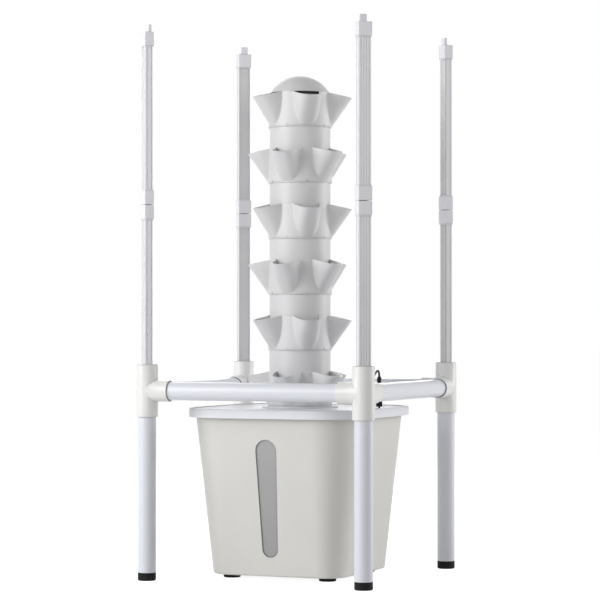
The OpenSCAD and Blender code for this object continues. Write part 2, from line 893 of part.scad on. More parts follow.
// One planter with its lower edge at z = 0 and a pocket toward +X
module planter() {
    difference() {
        union() {
            cylinder(h = ring_h, r = ring_or);
            translate([0, 0, -spigot_len])
                cylinder(h = spigot_len, d = column_od);
            around_pockets()
                pocket_outside();
        }
        difference() {
            translate([0, 0, floor_t])
                cylinder(h = ring_h, r = ring_ir);
            around_pockets(pocket_step / 2)
                translate([ring_ir - lug_in, -lug_w / 2, ring_h - spigot_in - lug_h])
                    cube([2 * lug_in, lug_w, lug_h]);
        }
        translate([0, 0, -spigot_len - edge_cut])
            cylinder(h = spigot_len + edge_cut, d = column_od - 2 * column_wall);
        around_pockets()
            pocket_inside();
        translate([0, 0, -edge_cut])
            cylinder(h = floor_t + 2 * edge_cut, d = riser_od + 2 * riser_gap);
        for (i = [0 : drains - 1])
            rotate([0, 0, i * 360 / drains])
                translate([drain_r, 0, -edge_cut])
                    cylinder(h = floor_t + 2 * edge_cut, d = drain_d);
        around_pockets(pocket_step / 2)
            translate([ring_or - notch_in, -notch_w / 2, -edge_cut])
                cube([2 * notch_in, notch_w, notch_h + edge_cut]);
        translate([0, 0, band_z])
            tube(band_h, 2 * (ring_or + edge_cut), 2 * (ring_or - band_in));
    }
}

// Planter number 1 is at the top; every second one is turned by half a pocket
module planter_at(number) {
    color(tower_grey)
        translate([0, 0, tier_z0 + (tiers - number) * tier_pitch])
            rotate([0, 0, front_turn + (number % 2) * pocket_step / 2])
                planter();
}

module planter_1() planter_at(1);
module planter_2() planter_at(2);
module planter_3() planter_at(3);
module planter_4() planter_at(4);
module planter_5() planter_at(5);
module planter_6() planter_at(6);

module water_dish() {
    color(black)
        difference() {
            translate([0, 0, dish_z])
                cylinder(h = dish_rim_z - dish_z, r = dish_or);
            translate([0, 0, dish_z + dish_t])
                cylinder(h = dish_rim_z - dish_z, r = dish_or - dish_t);
            translate([0, 0, dish_z - edge_cut])
                cylinder(h = dish_t + 2 * edge_cut, d = dish_hole_d);
            for (i = [0 : drips - 1])
                rotate([0, 0, (i + 0.5) * 360 / drips])
                    translate([drip_r, 0, dish_z - edge_cut])
                        cylinder(h = dish_t + 2 * edge_cut, d = drip_d);
        }
}

module dome_cap() {
    ball_z = dish_rim_z + dome_rise - dome_ball;
    skirt_r = dish_or - dish_t - dome_skirt_fit;
    color(tower_grey)
        rotate_extrude() {
            difference() {
                intersection() {
                    translate([0, ball_z])
                        circle(r = dome_ball);
                    translate([0, dish_rim_z])
                        square([dome_r + edge_cut, dome_rise + edge_cut]);
                }
                translate([0, ball_z])
                    circle(r = dome_ball - dome_t);
                translate([-edge_cut, dish_rim_z - edge_cut])
                    square([edge_cut, dome_rise + 3 * edge_cut]);
            }
            translate([skirt_r - dome_t, dish_rim_z - dome_skirt_h])
                square([dome_t, dome_skirt_h + dome_skirt_lap]);
        }
}

// Leads

function unit(v) = v / norm(v);
function along(path, i) =
    unit(path[min(i + 1, len(path) - 1)] - path[max(i - 1, 0)]);
function lead_row(path, i) =
    let (t = along(path, i), a = unit(cross(t, lead_side_ref)), b = cross(a, t), r = lead_d / 2)
    [for (k = [0 : lead_sides - 1])
        let (turn = 360 * k / lead_sides)
            path[i] + r * (cos(turn) * a + sin(turn) * b)];

module lead(path) {
    skin([for (i = [0 : len(path) - 1]) lead_row(path, i)]);
}

module pump_lead() color(black) lead(pump_lead_path);
module lamp_lead() color(black) lead(lamp_lead_path);

module lead_socket() {
    color(black)
        translate([cord_slot_x, cord_slot_y, plug_base_z])
            cylinder(h = socket_body_len, d = socket_body_d);
}

module lead_plug() {
    color(black)
        translate([cord_slot_x, cord_slot_y, plug_seam_z])
            rotate_extrude()
                polygon([[0, 0], [plug_body_d / 2, 0], [plug_body_d / 2, plug_shoulder],
                    [plug_boot_d / 2, plug_body_len], [0, plug_body_len]]);
}

module lead_gland() {
    neck_fit = 0.1;
    color(black)
        at_corner(1)
            translate([0, 0, gland_z])
                rotate([0, 90, 45]) {
                    translate([0, 0, gland_r - gland_in])
                        cylinder(h = gland_in + edge_cut, d = gland_hole_d - 2 * neck_fit);
                    translate([0, 0, gland_r])
                        cylinder(h = gland_out, d = gland_d);
                }
}

leg_front_left();
leg_front_right();
leg_back_right();
leg_back_left();
leg_feet();
fitting_front_left();
fitting_front_right();
fitting_back_right();
fitting_back_left();
rail_front();
rail_right();
rail_back();
rail_left();
pole_socket_front_left();
pole_socket_front_right();
pole_socket_back_right();
pole_socket_back_left();
housings_front_left();
housings_front_right();
housings_back_right();
housings_back_left();
diffusers_front_left();
diffusers_front_right();
diffusers_back_right();
diffusers_back_left();
light_boards_front_left();
light_boards_front_right();
light_boards_back_right();
light_boards_back_left();
end_caps_front_left();
end_caps_front_right();
end_caps_back_right();
end_caps_back_left();
connectors_front_left();
connectors_front_right();
connectors_back_right();
connectors_back_left();
tank();
tank_feet();
level_window();
lid();
pump_body();
pump_cover();
pump_rotor();
pump_cups();
riser_tube();
planter_1();
planter_2();
planter_3();
planter_4();
planter_5();
planter_6();
water_dish();
dome_cap();
pump_lead();
lead_socket();
lead_plug();
lamp_lead();
lead_gland();
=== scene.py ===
import math

import bmesh
import bpy
from mathutils import Matrix, Vector


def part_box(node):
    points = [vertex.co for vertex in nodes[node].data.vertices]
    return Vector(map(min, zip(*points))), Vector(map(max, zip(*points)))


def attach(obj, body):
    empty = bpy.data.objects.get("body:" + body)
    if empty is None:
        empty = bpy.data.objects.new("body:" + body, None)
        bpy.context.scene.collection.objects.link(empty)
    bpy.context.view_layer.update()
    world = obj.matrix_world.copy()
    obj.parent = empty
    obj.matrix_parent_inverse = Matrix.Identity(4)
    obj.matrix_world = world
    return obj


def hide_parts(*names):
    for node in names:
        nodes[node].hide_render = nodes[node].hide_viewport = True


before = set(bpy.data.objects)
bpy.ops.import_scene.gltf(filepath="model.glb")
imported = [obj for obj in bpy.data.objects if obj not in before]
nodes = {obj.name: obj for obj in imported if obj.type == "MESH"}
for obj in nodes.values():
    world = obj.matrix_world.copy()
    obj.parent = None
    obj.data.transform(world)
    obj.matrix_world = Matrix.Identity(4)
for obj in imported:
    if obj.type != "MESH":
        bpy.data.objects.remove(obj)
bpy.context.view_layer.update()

scene = bpy.context.scene
MM = 0.001
CORNERS = ("front_left", "front_right", "back_right", "back_left")


def new_object(name, data):
    obj = bpy.data.objects.new(name, data)
    scene.collection.objects.link(obj)
    return obj


# Camera, at the photograph's angle
AZIMUTH = 23.17
DISTANCE = 4.574
EYE_HEIGHT = 0.4586
PITCH_UP = 0.438
LENS = 152.3
SENSOR = 36.0
CLIP_END = 100.0

azimuth = math.radians(AZIMUTH)
toward_camera = Vector((math.sin(azimuth), -math.cos(azimuth), 0))
camera_right = Vector((math.cos(azimuth), math.sin(azimuth), 0))
camera_data = bpy.data.cameras.new("camera")
camera_data.lens = LENS
camera_data.sensor_width = SENSOR
camera_data.clip_end = CLIP_END
camera = new_object("camera", camera_data)
camera.location = toward_camera * DISTANCE + Vector((0, 0, EYE_HEIGHT))
camera.rotation_euler = (math.radians(90 + PITCH_UP), 0, azimuth)
scene.camera = camera


# Materials: the range of noise that counts, and how far gloss, colour and grain follow it
NOISE_LOW = 0.2
NOISE_HIGH = 0.8
ROUGH_LESS = 0.03
ROUGH_MORE = 0.04
LIGHTER_SHARE = 0.6
GLOSS_PER_PATCH = 5
DRIFT_DETAIL = 4
FINE_DETAIL = 2
GRAIN_STRENGTH = 0.5
COAT_ROUGHNESS = 0.15
# Samples for the painted shade in grooves and gaps
PAINTED_SHADE_SAMPLES = 8
EVEN = (1, 1, 1)


def shader(name):
    mat = bpy.data.materials.new(name)
    mat.use_nodes = True
    tree = mat.node_tree
    tree.nodes.clear()
    out = tree.nodes.new("ShaderNodeOutputMaterial")
    bsdf = tree.nodes.new("ShaderNodeBsdfPrincipled")
    tree.links.new(bsdf.outputs["BSDF"], out.inputs["Surface"])
    return mat, tree, bsdf


def principled(mat):
    return next(node for node in mat.node_tree.nodes if node.type == "BSDF_PRINCIPLED")


def noise(tree, scale, detail, stretch):
    coord = tree.nodes.new("ShaderNodeTexCoord")
    mapping = tree.nodes.new("ShaderNodeMapping")
    mapping.inputs["Scale"].default_value = stretch
    tex = tree.nodes.new("ShaderNodeTexNoise")
    tex.inputs["Scale"].default_value = scale
    tex.inputs["Detail"].default_value = detail
    tree.links.new(coord.outputs["Object"], mapping.inputs["Vector"])
    tree.links.new(mapping.outputs["Vector"], tex.inputs["Vector"])
    return tex.outputs["Fac"]


def ramp(tree, value, low, high):
    node = tree.nodes.new("ShaderNodeMapRange")
    node.inputs["From Min"].default_value = NOISE_LOW
    node.inputs["From Max"].default_value = NOISE_HIGH
    node.inputs["To Min"].default_value = low
    node.inputs["To Max"].default_value = high
    tree.links.new(value, node.inputs["Value"])
    return node.outputs["Result"]


def tinted(tree, value, dark, light):
    node = tree.nodes.new("ShaderNodeValToRGB")
    first, last = node.color_ramp.elements
    first.position = NOISE_LOW
    last.position = NOISE_HIGH
    first.color = (*dark, 1)
    last.color = (*light, 1)
    tree.links.new(value, node.inputs["Fac"])
    return node.outputs["Color"]


def painted_groove_shade(tree, colour, reach):
    """Painted shade in grooves and gaps between parts: the colour darkens where other faces stand within
    reach.
    """
    node = tree.nodes.new("ShaderNodeAmbientOcclusion")
    node.samples = PAINTED_SHADE_SAMPLES
    node.inputs["Distance"].default_value = reach
    tree.links.new(colour, node.inputs["Color"])
    return node.outputs["Color"]


def plastic(name, colour, rough, grain, depth, vary,
            stretch=EVEN, patch=14, coat=0.0, shine=0.5, painted_shade_reach=0.002):
    """Moulded or drawn plastic: slow colour drift, uneven gloss, a fine grain and painted shade in its
    grooves.
    """
    mat, tree, bsdf = shader(name)
    dark = tuple(c * (1 - vary) for c in colour)
    light = tuple(min(c * (1 + vary * LIGHTER_SHARE), 1) for c in colour)
    drift = tinted(tree, noise(tree, patch, DRIFT_DETAIL, stretch), dark, light)
    # Base colour: the drifting tone, darkened by painted shade where other faces stand near
    tree.links.new(painted_groove_shade(tree, drift, painted_shade_reach), bsdf.inputs["Base Color"])
    patches = noise(tree, patch * GLOSS_PER_PATCH, FINE_DETAIL, stretch)
    gloss = ramp(tree, patches, rough - ROUGH_LESS, rough + ROUGH_MORE)
    tree.links.new(gloss, bsdf.inputs["Roughness"])
    bump = tree.nodes.new("ShaderNodeBump")
    bump.inputs["Strength"].default_value = GRAIN_STRENGTH
    bump.inputs["Distance"].default_value = depth
    tree.links.new(noise(tree, grain, FINE_DETAIL, stretch), bump.inputs["Height"])
    tree.links.new(bump.outputs["Normal"], bsdf.inputs["Normal"])
    bsdf.inputs["Specular IOR Level"].default_value = shine
    bsdf.inputs["Coat Weight"].default_value = coat
    bsdf.inputs["Coat Roughness"].default_value = COAT_ROUGHNESS
    return mat


def pipe(name, stretch):
    """Drawn pipe, with its marks stretched along it."""
    return plastic(name, PIPE_WHITE, 0.34, 700, 0.00002, 0.02, stretch, patch=18, coat=0.12)


def shade_by_height(mat, low, high, dark, light):
    """Base colour times dark at the height low, going over to light at the height high."""
    tree = mat.node_tree
    base = principled(mat).inputs["Base Color"]
    colour = base.links[0].from_socket
    coord = tree.nodes.new("ShaderNodeTexCoord")
    split = tree.nodes.new("ShaderNodeSeparateXYZ")
    share = tree.nodes.new("ShaderNodeMapRange")
    share.inputs["From Min"].default_value = low
    share.inputs["From Max"].default_value = high
    share.inputs["To Min"].default_value = dark
    share.inputs["To Max"].default_value = light
    scaled = tree.nodes.new("ShaderNodeVectorMath")
    scaled.operation = "SCALE"
    tree.links.new(coord.outputs["Object"], split.inputs["Vector"])
    tree.links.new(split.outputs["Z"], share.inputs["Value"])
    tree.links.new(colour, scaled.inputs["Vector"])
    tree.links.new(share.outputs["Result"], scaled.inputs["Scale"])
    tree.links.new(scaled.outputs["Vector"], base)


PIPE_WHITE = (0.80, 0.815, 0.875)
FITTING_WHITE = (0.86, 0.86, 0.845)
HOUSING_WHITE = (0.87, 0.868, 0.9)
CAP_WHITE = (0.845, 0.845, 0.88)
TANK_CREAM = (0.737, 0.728, 0.694)
LID_WHITE = (0.86, 0.865, 0.905)
TOWER_GREY = (0.725, 0.725, 0.732)
PLASTIC_BLACK = (0.008, 0.008, 0.009)
LEAD_BLACK = (0.004, 0.004, 0.0045)
RUBBER_BLACK = (0.007, 0.007, 0.008)
ROTOR_GREY = (0.32, 0.32, 0.33)
BOARD_CREAM = (0.93, 0.925, 0.88)
CHIP_YELLOW = (0.84, 0.72, 0.34)
RISER_PALE = (0.74, 0.76, 0.77)
MILKY_WHITE = (0.965, 0.968, 0.998)
WINDOW_GREY = (0.40, 0.40, 0.40)
DIFFUSER_ALPHA = 0.5
WINDOW_LOW_SHADE = 0.88
WINDOW_HIGH_SHADE = 1.04

# Each finish: colour, roughness, grain scale, grain depth, colour drift
# Every finish darkens its grooves with painted shade; the last keyword, where given, sets how far that
# reaches
pipe_z = pipe("pipe_white_upright", (1, 1, 0.04))
pipe_x = pipe("pipe_white_along_x", (0.04, 1, 1))
pipe_y = pipe("pipe_white_along_y", (1, 0.04, 1))
fitting = plastic("fitting_white", FITTING_WHITE, 0.3, 900, 0.00003, 0.025, coat=0.15)
housing = plastic("light_housing", HOUSING_WHITE, 0.34, 1200, 0.00001, 0.02,
                  stretch=(1, 1, 0.02), patch=30, coat=0.6, painted_shade_reach=0.001)
cap = plastic("cap_white", CAP_WHITE, 0.4, 1500, 0.00002, 0.02, coat=0.4)
tank_mat = plastic("tank_cream", TANK_CREAM, 0.46, 2200, 0.00004, 0.02)
lid_mat = plastic("lid_white", LID_WHITE, 0.4, 1600, 0.00002, 0.02)
tower_mat = plastic("tower_grey", TOWER_GREY, 0.42, 1800, 0.00002, 0.02, painted_shade_reach=0.0006)
black_mat = plastic("black_plastic", PLASTIC_BLACK, 0.45, 1600, 0.00004, 0.25, shine=0.25)
lead_mat = plastic("lead_black", LEAD_BLACK, 0.5, 1600, 0.00004, 0.25, shine=0.12)
rubber_mat = plastic("black_rubber", RUBBER_BLACK, 0.7, 1400, 0.00008, 0.3, shine=0.2)
rotor_mat = plastic("rotor_grey", ROTOR_GREY, 0.5, 1200, 0.00003, 0.1)
board_mat = plastic("light_board", BOARD_CREAM, 0.55, 2400, 0.00002, 0.03)
chip_mat = plastic("light_chip", CHIP_YELLOW, 0.35, 3000, 0.00001, 0.06)
riser_mat = plastic("riser_clear", RISER_PALE, 0.3, 900, 0.00002, 0.03)
milky = plastic("milky_diffuser", MILKY_WHITE, 0.35, 1400, 0.00001, 0.015,
                stretch=(1, 1, 0.03), coat=0.5)
principled(milky).inputs["Alpha"].default_value = DIFFUSER_ALPHA
# The window's wide reach paints a dark outline of shade round its edge in the recess
window_mat = plastic("window_grey", WINDOW_GREY, 0.4, 300, 0.00001, 0.02, coat=0.1, painted_shade_reach=0.005)
window_low, window_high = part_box("level_window")
shade_by_height(window_mat, window_low[2], window_high[2], WINDOW_LOW_SHADE, WINDOW_HIGH_SHADE)

# The first prefix that fits a node's name gives its material
MATERIAL_OF = (
    ("leg_feet", rubber_mat), ("leg_", pipe_z), ("fitting_", fitting),
    ("rail_front", pipe_x), ("rail_back", pipe_x), ("rail_", pipe_y),
    ("pole_socket_", fitting), ("housings_", housing), ("diffusers_", milky),
    ("light_boards_", board_mat), ("end_caps_", cap), ("connectors_", cap),
    ("tank_feet", rubber_mat), ("tank", tank_mat), ("level_window", window_mat), ("lid", lid_mat),
    ("pump_rotor", rotor_mat), ("pump_cups", rubber_mat), ("pump_", black_mat), ("riser_tube", riser_mat),
    ("planter_", tower_mat), ("dome_cap", tower_mat), ("water_dish", black_mat),
    ("lead_gland", rubber_mat), ("lead_", lead_mat), ("lamp_lead", lead_mat),
)

# Shading: joined corners, smooth up to an angle, and a small round on the edges
WELD = 0.000004
SMOOTH_ANGLE = 30
BEVEL_ANGLE = 40
BEVEL_SEGMENTS = 2
USUAL_EDGE = 0.0004
EDGES = (
    ("light_boards_", 0.0), ("lead_", 0.0003), ("pump_", 0.0003), ("tank_feet", 0.0004),
    ("tank", 0.0003), ("lid", 0.0005), ("fitting_", 0.0006), ("end_caps_", 0.0004),
    ("connectors_", 0.0005), ("housings_", 0.0003), ("diffusers_", 0.0003),
)


def smooth_group(name, angle):
    group = bpy.data.node_groups.new(name, "GeometryNodeTree")
    group.interface.new_socket("Geometry", in_out="INPUT", socket_type="NodeSocketGeometry")
    group.interface.new_socket("Geometry", in_out="OUTPUT", socket_type="NodeSocketGeometry")
    enter = group.nodes.new("NodeGroupInput")
    leave = group.nodes.new("NodeGroupOutput")
    weld = group.nodes.new("GeometryNodeMergeByDistance")
    weld.inputs["Distance"].default_value = WELD
    faces = group.nodes.new("GeometryNodeSetShadeSmooth")
    edges = group.nodes.new("GeometryNodeSetShadeSmooth")
    edges.domain = "EDGE"
    edges.inputs["Shade Smooth"].default_value = False
    turn = group.nodes.new("GeometryNodeInputMeshEdgeAngle")
    compare = group.nodes.new("FunctionNodeCompare")
    compare.operation = "GREATER_THAN"
    compare.inputs["B"].default_value = math.radians(angle)
    group.links.new(enter.outputs["Geometry"], weld.inputs["Geometry"])
    group.links.new(weld.outputs["Geometry"], faces.inputs["Geometry"])
    group.links.new(faces.outputs["Geometry"], edges.inputs["Geometry"])
    group.links.new(turn.outputs["Unsigned Angle"], compare.inputs["A"])
    group.links.new(compare.outputs["Result"], edges.inputs["Selection"])
    group.links.new(edges.outputs["Geometry"], leave.inputs["Geometry"])
    return group


smooth_by_angle = smooth_group("smooth_by_angle", SMOOTH_ANGLE)


def finish_mesh(obj, mat, edge=0.0):
    obj.data.materials.clear()
    obj.data.materials.append(mat)
    smooth = obj.modifiers.new("smooth", "NODES")
    smooth.node_group = smooth_by_angle
    if edge:
        bevel = obj.modifiers.new("edge", "BEVEL")
        bevel.width = edge
        bevel.segments = BEVEL_SEGMENTS
        bevel.limit_method = "ANGLE"
        bevel.angle_limit = math.radians(BEVEL_ANGLE)
        bevel.harden_normals = True


for name, obj in nodes.items():
    mat = next(m for prefix, m in MATERIAL_OF if name.startswith(prefix))
    edge = next((e for prefix, e in EDGES if name.startswith(prefix)), USUAL_EDGE)
    finish_mesh(obj, mat, edge)


# Planters, in millimetres: the part's own pocket formulas at a finer step
RING_OR = 57.6
RING_IR = 55.4
RING_H = 64.0
SPIGOT_R = 55.0
SPIGOT_IR = 52.8
SPIGOT_LEN = 56.0
SPIGOT_MID = -30.0
FLOOR_T = 2.4
FLOOR_OUT = 47.0
FLOOR_IN = 33.0
RISER_HOLE_R = 13.0
BAND_Z = 1.7
BAND_H = 1.0
BAND_IN = 0.45
BAND_EASE = 0.05
EDGE = 0.5
POCKETS = 5
ROOT_R = 58.0
ROOT_Z = 3.0
REACH = 94.0
TIP_Z = 53.5
POCKET_W = 50.0
POCKET_WALL = 2.2
BACK_R = 46.0
MOUTH_SLOPE = 0.22
SQUARE = 0.77
TAPER = 0.75
LEAN = math.atan((REACH - ROOT_R) / (TIP_Z - ROOT_Z))
INNER_START = 0.14
LEDGE_DROP = 0.3
CREASE = 2.2
TIER_Z0 = 303.0
TIER_PITCH = 100.0
TIERS = 6
TIER_FACING = -90.0
HALF_SECTOR = 180.0 / POCKETS

# Steps of the mesh, and the round on a pocket's lip: share of the wall, share of the drop
COLUMNS = 72
ROWS = 30
ROW_POWER = 0.9
HALVINGS = 40
LIP_DROP = 0.55
LIP = ((0.0, 1.0), (0.12, 0.25), (0.35, 0.0), (0.65, 0.0), (0.88, 0.25), (1.0, 1.0))

# Notches, lugs and drain holes, in metres
NOTCH = ((0.0565, -0.001, -0.001), (0.0588, 0.001, 0.0045))
LUG = ((0.052, -0.004, 0.037), (0.0565, 0.004, 0.04395))
DRAINS = 10
DRAIN_AT = 0.04
DRAIN_R = 0.004
DRAIN_LOW = -0.001
DRAIN_HIGH = 0.0034
ROD_SIDES = 32


def pocket_tip(s, inset):
    return ROOT_R + (REACH - ROOT_R) * s - inset / math.cos(LEAN)


def pocket_half(s, inset):
    return POCKET_W / 2 * math.sqrt(1 - TAPER * (1 - s) ** 2) - inset


def pocket_polar(theta, s, inset):
    """Distance from the axis at which the pocket's section s meets a direction, or 0 beside the pocket."""
    tip = pocket_tip(s, inset)
    half = pocket_half(s, inset)
    if theta >= math.atan2(half, BACK_R):
        return 0.0
    low = 0.0
    high = math.pi / 2
    for _ in range(HALVINGS):
        t = (low + high) / 2
        x = BACK_R + (tip - BACK_R) * math.cos(t) ** SQUARE
        y = half * math.sin(t) ** SQUARE
        if math.atan2(y, x) < theta:
            low = t
        else:
            high = t
    return math.hypot(x, y)


def soft_max(a, b, k):
    h = max(k - abs(a - b), 0) / k
    return max(a, b) + h * h * k / 4


def pocket_row(theta, s, inset, ring):
    r = soft_max(ring, pocket_polar(theta, s, inset), CREASE)
    x = r * math.cos(theta)
    z = ROOT_Z + (TIP_Z - ROOT_Z) * s + (pocket_tip(s, 0) - x) * MOUTH_SLOPE * s
    return r, min(z, RING_H)


def planter_profile(theta):
    """One closed section of a planter in the direction theta from a pocket's middle, as (radius, height)."""
    rows = [(i / ROWS) ** ROW_POWER for i in range(ROWS + 1)]
    outer = [pocket_row(theta, s, 0, RING_OR) for s in rows]
    inner = [pocket_row(theta, s, POCKET_WALL, RING_IR) for s in rows if s > INNER_START]
    points = [
        (SPIGOT_IR + EDGE, -SPIGOT_LEN), (SPIGOT_R - EDGE, -SPIGOT_LEN), (SPIGOT_R, -SPIGOT_LEN + EDGE),
        (SPIGOT_R, SPIGOT_MID), (SPIGOT_R, 0), (RING_OR - EDGE, 0), (RING_OR, EDGE), (RING_OR, BAND_Z),
        (RING_OR - BAND_IN, BAND_Z + BAND_EASE), (RING_OR - BAND_IN, BAND_Z + BAND_H - BAND_EASE),
        (RING_OR, BAND_Z + BAND_H)]
    points += outer[:-1]
    r0, z0 = outer[-1]
    r1, z1 = inner[-1]
    for share, drop in LIP:
        points.append((r0 + (r1 - r0) * share, z0 + (z1 - z0) * share - drop * LIP_DROP))
    points += inner[-2::-1]
    ledge_z = inner[0][1]
    points += [
        (RING_IR, ledge_z - LEDGE_DROP), (RING_IR, FLOOR_T + EDGE), (RING_IR - EDGE, FLOOR_T),
        (FLOOR_OUT, FLOOR_T), (FLOOR_IN, FLOOR_T), (RISER_HOLE_R, FLOOR_T), (RISER_HOLE_R, 0),
        (FLOOR_IN, 0), (FLOOR_OUT, 0), (SPIGOT_IR - EDGE, 0), (SPIGOT_IR, -EDGE),
        (SPIGOT_IR, SPIGOT_MID), (SPIGOT_IR, -SPIGOT_LEN + EDGE)]
    return points


def grid_mesh(name, columns):
    """Closed mesh from closed columns that follow each other round the axis."""
    n = len(columns)
    m = len(columns[0])
    verts = [p for column in columns for p in column]
    faces = [(i * m + j, (i + 1) % n * m + j, (i + 1) % n * m + (j + 1) % m, i * m + (j + 1) % m)
             for i in range(n) for j in range(m)]
    mesh = bpy.data.meshes.new(name)
    mesh.from_pydata(verts, [], faces)
    mesh.validate()
    return mesh


def made_mesh(bm, name):
    mesh = bpy.data.meshes.new(name)
    bm.to_mesh(mesh)
    bm.free()
    return mesh


def add_block(bm, place, size):
    part = bmesh.ops.create_cube(bm, size=1.0)["verts"]
    bmesh.ops.transform(bm, matrix=place @ Matrix.Diagonal((*size, 1)), verts=part)


def add_blocks(bm, low, high, turns):
    """One block from its lowest and highest corner, repeated at the given turns about the axis."""
    size = [h - l for l, h in zip(low, high)]
    middle = [(l + h) / 2 for l, h in zip(low, high)]
    for turn in turns:
        add_block(bm, Matrix.Rotation(turn, 4, "Z") @ Matrix.Translation(middle), size)


def add_drain(bm, turn):
    part = bmesh.ops.create_cone(bm, cap_ends=True, segments=ROD_SIDES, radius1=DRAIN_R, radius2=DRAIN_R,
                                 depth=DRAIN_HIGH - DRAIN_LOW)["verts"]
    place = (DRAIN_AT * math.cos(turn), DRAIN_AT * math.sin(turn), (DRAIN_LOW + DRAIN_HIGH) / 2)
    bmesh.ops.translate(bm, vec=place, verts=part)


def planter_mesh():
    sector = 2 * math.pi / POCKETS
    half_columns = COLUMNS // 2
    profiles = [planter_profile(sector / 2 * k / half_columns) for k in range(half_columns + 1)]
    columns = []
    for pocket in range(POCKETS):
        for k in range(-half_columns, half_columns):
            a = pocket * sector + sector / 2 * k / half_columns
            columns.append([(r * MM * math.cos(a), r * MM * math.sin(a), z * MM)
                            for r, z in profiles[abs(k)]])
    base = new_object("planter_base", grid_mesh("planter_base", columns))
    between = [sector * (i + 0.5) for i in range(POCKETS)]
    cut = bmesh.new()
    add_blocks(cut, *NOTCH, between)
    for i in range(DRAINS):
        add_drain(cut, 2 * math.pi * i / DRAINS)
    lugs = bmesh.new()
    add_blocks(lugs, *LUG, between)
    tools = [(new_object("notch", made_mesh(cut, "notch")), "DIFFERENCE"),
             (new_object("lugs", made_mesh(lugs, "lugs")), "UNION")]
    for tool, operation in tools:
        boolean = base.modifiers.new(tool.name, "BOOLEAN")
        boolean.object = tool
        boolean.operation = operation
        boolean.solver = "EXACT"
    mesh = bpy.data.meshes.new_from_object(base.evaluated_get(bpy.context.evaluated_depsgraph_get()))
    mesh.name = "planter"
    for obj in (base, *(tool for tool, _ in tools)):
        bpy.data.objects.remove(obj)
    return mesh


planter = planter_mesh()
for number in range(1, TIERS + 1):
    piece = new_object(f"planter_shell_{number}", planter.copy())
    piece.location = (0, 0, (TIER_Z0 + (TIERS - number) * TIER_PITCH) * MM)
    piece.rotation_euler = (0, 0, math.radians(TIER_FACING + (number % 2) * HALF_SECTOR))
    finish_mesh(piece, tower_mat)
    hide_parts(f"planter_{number}")
    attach(piece, f"tier_{number}")


# Light chips and dark wire ends on the boards, behind the diffusers
HALF = 0.205
DECK_Y = 0.0005
BOARD_T = 0.0012
BAR_SPANS = ((0.386, 0.643), (0.702, 0.947))
CHIP_PITCH = 0.0085
CHIP_SIZE = (0.0035, 0.0008, 0.0028)
CHIP_EDGE = 0.0002
WIRE_ENDS = (0.380, 0.697)
WIRE_X = 0.002
WIRE_R = 0.0012
WIRE_SIDES = 20
WIRE_RINGS = 10


def chip_rows():
    bm = bmesh.new()
    for low, high in BAR_SPANS:
        count = int((high - low) / CHIP_PITCH)
        for k in range(count + 1):
            middle = (0, DECK_Y + BOARD_T + CHIP_SIZE[1] / 2, low + (high - low) * k / count)
            add_block(bm, Matrix.Translation(middle), CHIP_SIZE)
    return bm


def wire_ends():
    bm = bmesh.new()
    for z in WIRE_ENDS:
        part = bmesh.ops.create_uvsphere(bm, u_segments=WIRE_SIDES, v_segments=WIRE_RINGS, radius=WIRE_R)
        bmesh.ops.translate(bm, vec=(WIRE_X, DECK_Y + BOARD_T, z), verts=part["verts"])
    return bm


def pole_piece(name, bm, quarter):
    """A mesh made in a bar's own frame, turned to face the tower and set on the pole of one corner."""
    to_corner = Matrix.Rotation(math.pi / 2 * quarter, 4, "Z") @ Matrix.Translation((-HALF, -HALF, 0))
    bm.transform(to_corner @ Matrix.Rotation(-math.pi / 4, 4, "Z"))
    return new_object(name, made_mesh(bm, name))


for quarter, corner in enumerate(CORNERS):
    chips = pole_piece("light_chips_" + corner, chip_rows(), quarter)
    finish_mesh(chips, chip_mat, CHIP_EDGE)
    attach(chips, "pole_" + corner)
    wires = pole_piece("board_wires_" + corner, wire_ends(), quarter)
    finish_mesh(wires, black_mat)
    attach(wires, "pole_" + corner)


# Leads, along the routes of the part's source, in millimetres
LEAD_D = 0.0035
LEAD_ROUND = 6
LEAD_STEPS = 6
SLOT = (152.0, 3.0)
PLUG_TOP = 357.0
SOCKET_BASE = 303.5
GLAND_END = 189.16
GLAND_IN = 7.0
LAMP_RUN = [
    (0, 0, 0), (0, 0, 2), (0, -1.1, 6.2), (0.2, -4.2, 9.4), (0.6, -8.8, 10.4), (1.4, -15, 9.6),
    (3, -25, 6.6), (6, -40, 2), (10, -58, -2), (14, -78, -5), (17.5, -98, -6.6), (20.5, -118, -7),
    (23, -138, -6.4), (25, -154, -4.8), (26.4, -167, -2.4), (27.8, -177, -0.6)]
LAMP_LEAD = [(SLOT[0] + x, SLOT[1] + y, PLUG_TOP + z) for x, y, z in LAMP_RUN] + [
    (GLAND_END - GLAND_IN, GLAND_IN - GLAND_END, PLUG_TOP), (GLAND_END, -GLAND_END, PLUG_TOP)]
PUMP_LEAD = [
    (34, 20, 30), (44, 20, 30), (56, 19, 28), (70, 16, 24), (84, 12, 20), (96, 8, 20), (108, 5, 24),
    (116, 3, 34), (121, 3, 46), (124, 3, 60), (127, 3, 80), (130, 3, 105), (133, 3, 130),
    (136, 3, 155), (139, 3, 180), (142, 3, 205), (145, 3, 230), (148, 3, 255), (151, 3, 280),
    (*SLOT, 292), (*SLOT, SOCKET_BASE)]


def lead(name, route):
    curve = bpy.data.curves.new(name, "CURVE")
    curve.dimensions = "3D"
    curve.bevel_depth = LEAD_D / 2
    curve.bevel_resolution = LEAD_ROUND
    curve.resolution_u = LEAD_STEPS
    curve.use_fill_caps = True
    spline = curve.splines.new("BEZIER")
    spline.bezier_points.add(len(route) - 1)
    for point, place in zip(spline.bezier_points, route):
        point.co = [c * MM for c in place]
        point.handle_left_type = "AUTO"
        point.handle_right_type = "AUTO"
    curve.materials.append(lead_mat)
    return new_object(name, curve)


